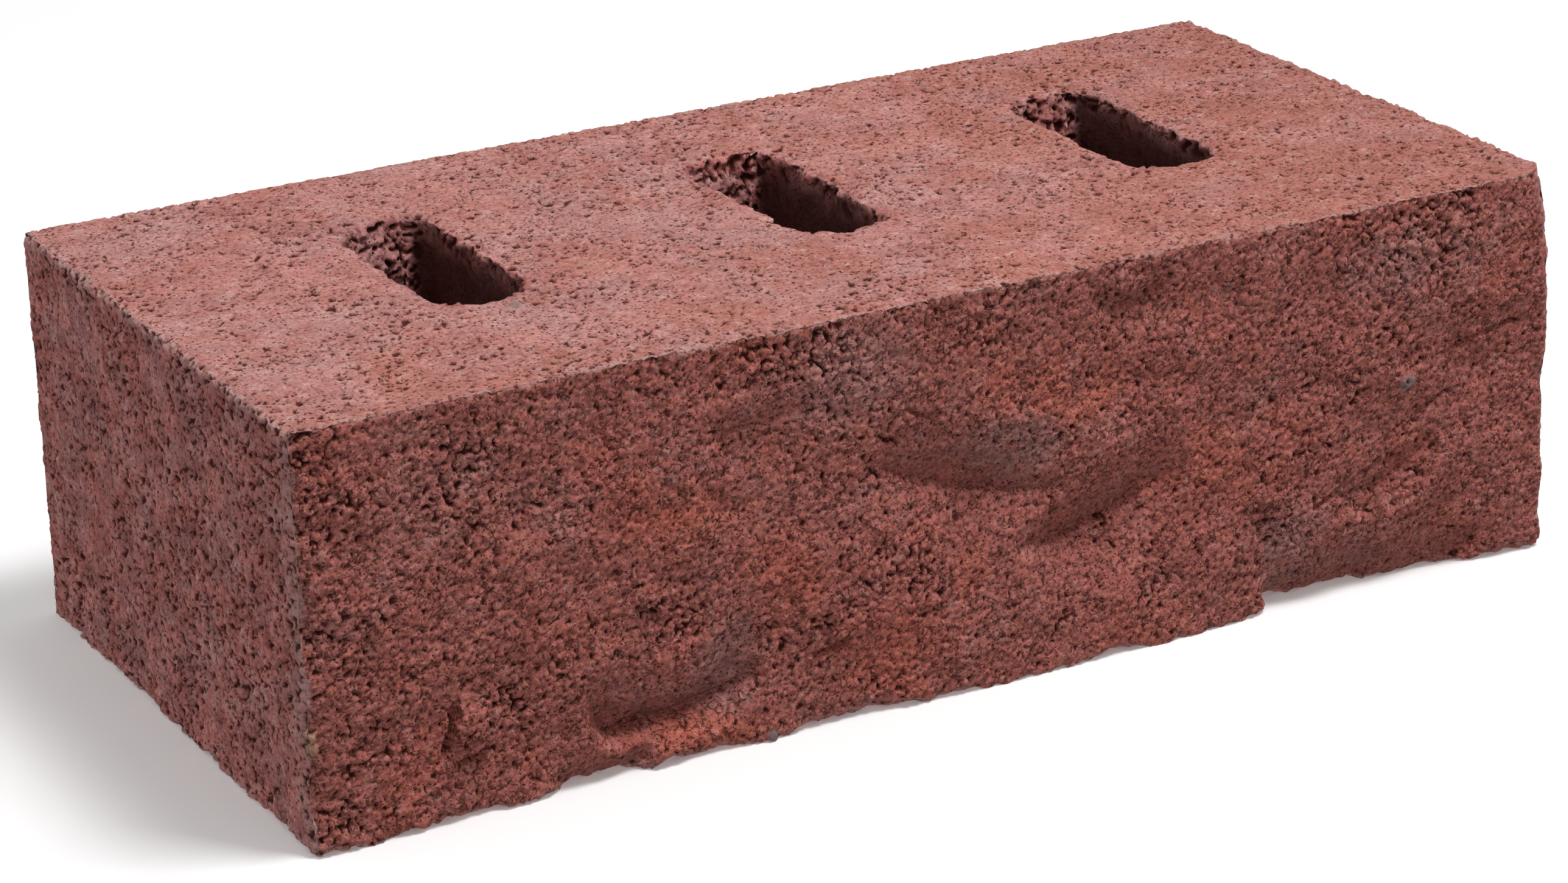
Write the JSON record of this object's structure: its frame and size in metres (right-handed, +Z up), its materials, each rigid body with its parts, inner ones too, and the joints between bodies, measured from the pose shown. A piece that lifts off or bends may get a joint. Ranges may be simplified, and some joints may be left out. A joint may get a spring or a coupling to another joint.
{
  "type": "split-face facing brick",
  "caption": "Red pressed facing brick with a rough split long face and rectangular core slots through its beds.",
  "frame": {"origin": "centre of the bounding rectangle of the bottom bed, on the bed", "axes": "+X along the length, to the right as the split face is seen; the split face looks to -Y; +Z up out of the top bed, with the core slots along Z"},
  "size_m": [0.24, 0.115, 0.071],
  "materials": {
    "pressed_brick": "matte, sandy, with fine pits and aggregate grains"
  },
  "bodies": {
    "root": {"brick": "pressed_brick"}
  },
  "joints": []
}
